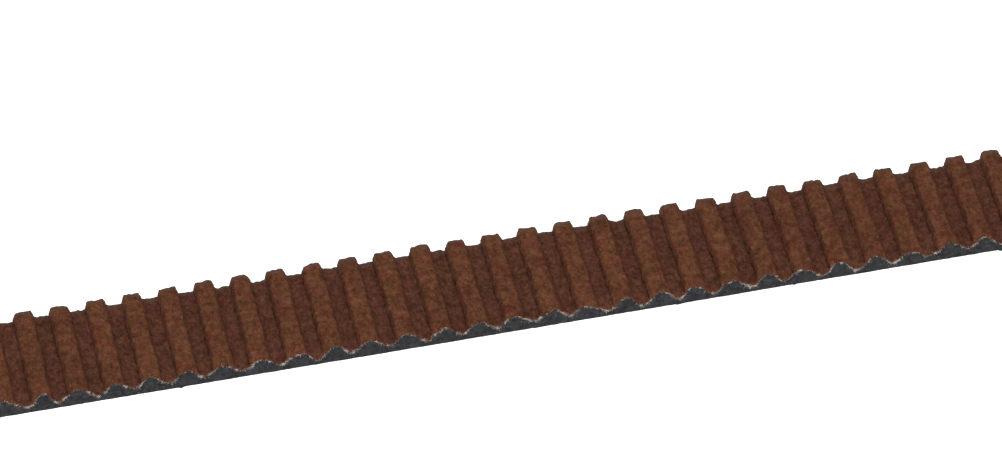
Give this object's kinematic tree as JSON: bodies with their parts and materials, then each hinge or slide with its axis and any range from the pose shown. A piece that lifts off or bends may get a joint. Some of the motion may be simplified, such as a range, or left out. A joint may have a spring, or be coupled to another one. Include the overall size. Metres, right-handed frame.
{
  "type": "timing belt",
  "caption": "Open-ended flexible drive belt with trapezoidal teeth on one face: rubber backing, tension cords, toothed rubber and a fabric facing.",
  "frame": {"origin": "middle of the belt's back face, at half its length and half its width", "axes": "+X along the belt, +Y across its width from the near edge to the far edge, +Z from the back towards the teeth"},
  "size_m": [0.075, 0.01, 0.0013],
  "materials": {
    "backing_rubber": "matte moulded and ground rubber, dark blue-grey",
    "tension_cord": "twisted glass-fibre cords in adhesive gum, off-white where cut",
    "tooth_rubber": "matte moulded rubber, near black",
    "facing_fabric": "matte reddish-brown impregnated fabric with a suede-like nap, frayed at the cut edges"
  },
  "bodies": {
    "link_01": {"backing_01": "backing_rubber", "cord_layer_01": "tension_cord", "teeth_01": "tooth_rubber", "facing_01": "facing_fabric"},
    "link_02": {"backing_02": "backing_rubber", "cord_layer_02": "tension_cord", "teeth_02": "tooth_rubber", "facing_02": "facing_fabric"},
    "link_03": {"backing_03": "backing_rubber", "cord_layer_03": "tension_cord", "teeth_03": "tooth_rubber", "facing_03": "facing_fabric"},
    "link_04": {"backing_04": "backing_rubber", "cord_layer_04": "tension_cord", "teeth_04": "tooth_rubber", "facing_04": "facing_fabric"},
    "link_05": {"backing_05": "backing_rubber", "cord_layer_05": "tension_cord", "teeth_05": "tooth_rubber", "facing_05": "facing_fabric"},
    "link_06": {"backing_06": "backing_rubber", "cord_layer_06": "tension_cord", "teeth_06": "tooth_rubber", "facing_06": "facing_fabric"},
    "link_07": {"backing_07": "backing_rubber", "cord_layer_07": "tension_cord", "teeth_07": "tooth_rubber", "facing_07": "facing_fabric"},
    "link_08": {"backing_08": "backing_rubber", "cord_layer_08": "tension_cord", "teeth_08": "tooth_rubber", "facing_08": "facing_fabric"},
    "link_09": {"backing_09": "backing_rubber", "cord_layer_09": "tension_cord", "teeth_09": "tooth_rubber", "facing_09": "facing_fabric"},
    "link_10": {"backing_10": "backing_rubber", "cord_layer_10": "tension_cord", "teeth_10": "tooth_rubber", "facing_10": "facing_fabric"},
    "link_11": {"backing_11": "backing_rubber", "cord_layer_11": "tension_cord", "teeth_11": "tooth_rubber", "facing_11": "facing_fabric"},
    "link_12": {"backing_12": "backing_rubber", "cord_layer_12": "tension_cord", "teeth_12": "tooth_rubber", "facing_12": "facing_fabric"},
    "link_13": {"backing_13": "backing_rubber", "cord_layer_13": "tension_cord", "teeth_13": "tooth_rubber", "facing_13": "facing_fabric"},
    "link_14": {"backing_14": "backing_rubber", "cord_layer_14": "tension_cord", "teeth_14": "tooth_rubber", "facing_14": "facing_fabric"},
    "link_15": {"backing_15": "backing_rubber", "cord_layer_15": "tension_cord", "teeth_15": "tooth_rubber", "facing_15": "facing_fabric"}
  },
  "joints": [
    {"name": "bend_01_02", "type": "hinge", "parent": "link_02", "child": "link_01", "pos_m": [-0.0325, 0, 0.0003], "axis": [0, 1, 0], "range_deg": [-22.5, 22.5], "stiffness_Nm_per_rad": 0.0004},
    {"name": "bend_02_03", "type": "hinge", "parent": "link_03", "child": "link_02", "pos_m": [-0.0275, 0, 0.0003], "axis": [0, 1, 0], "range_deg": [-22.5, 22.5], "stiffness_Nm_per_rad": 0.0004},
    {"name": "bend_03_04", "type": "hinge", "parent": "link_04", "child": "link_03", "pos_m": [-0.0225, 0, 0.0003], "axis": [0, 1, 0], "range_deg": [-22.5, 22.5], "stiffness_Nm_per_rad": 0.0004},
    {"name": "bend_04_05", "type": "hinge", "parent": "link_05", "child": "link_04", "pos_m": [-0.0175, 0, 0.0003], "axis": [0, 1, 0], "range_deg": [-22.5, 22.5], "stiffness_Nm_per_rad": 0.0004},
    {"name": "bend_05_06", "type": "hinge", "parent": "link_06", "child": "link_05", "pos_m": [-0.0125, 0, 0.0003], "axis": [0, 1, 0], "range_deg": [-22.5, 22.5], "stiffness_Nm_per_rad": 0.0004},
    {"name": "bend_06_07", "type": "hinge", "parent": "link_07", "child": "link_06", "pos_m": [-0.0075, 0, 0.0003], "axis": [0, 1, 0], "range_deg": [-22.5, 22.5], "stiffness_Nm_per_rad": 0.0004},
    {"name": "bend_07_08", "type": "hinge", "parent": "link_08", "child": "link_07", "pos_m": [-0.0025, 0, 0.0003], "axis": [0, 1, 0], "range_deg": [-22.5, 22.5], "stiffness_Nm_per_rad": 0.0004},
    {"name": "bend_08_09", "type": "hinge", "parent": "link_08", "child": "link_09", "pos_m": [0.0025, 0, 0.0003], "axis": [0, -1, 0], "range_deg": [-22.5, 22.5], "stiffness_Nm_per_rad": 0.0004},
    {"name": "bend_09_10", "type": "hinge", "parent": "link_09", "child": "link_10", "pos_m": [0.0075, 0, 0.0003], "axis": [0, -1, 0], "range_deg": [-22.5, 22.5], "stiffness_Nm_per_rad": 0.0004},
    {"name": "bend_10_11", "type": "hinge", "parent": "link_10", "child": "link_11", "pos_m": [0.0125, 0, 0.0003], "axis": [0, -1, 0], "range_deg": [-22.5, 22.5], "stiffness_Nm_per_rad": 0.0004},
    {"name": "bend_11_12", "type": "hinge", "parent": "link_11", "child": "link_12", "pos_m": [0.0175, 0, 0.0003], "axis": [0, -1, 0], "range_deg": [-22.5, 22.5], "stiffness_Nm_per_rad": 0.0004},
    {"name": "bend_12_13", "type": "hinge", "parent": "link_12", "child": "link_13", "pos_m": [0.0225, 0, 0.0003], "axis": [0, -1, 0], "range_deg": [-22.5, 22.5], "stiffness_Nm_per_rad": 0.0004},
    {"name": "bend_13_14", "type": "hinge", "parent": "link_13", "child": "link_14", "pos_m": [0.0275, 0, 0.0003], "axis": [0, -1, 0], "range_deg": [-22.5, 22.5], "stiffness_Nm_per_rad": 0.0004},
    {"name": "bend_14_15", "type": "hinge", "parent": "link_14", "child": "link_15", "pos_m": [0.0325, 0, 0.0003], "axis": [0, -1, 0], "range_deg": [-22.5, 22.5], "stiffness_Nm_per_rad": 0.0004}
  ]
}
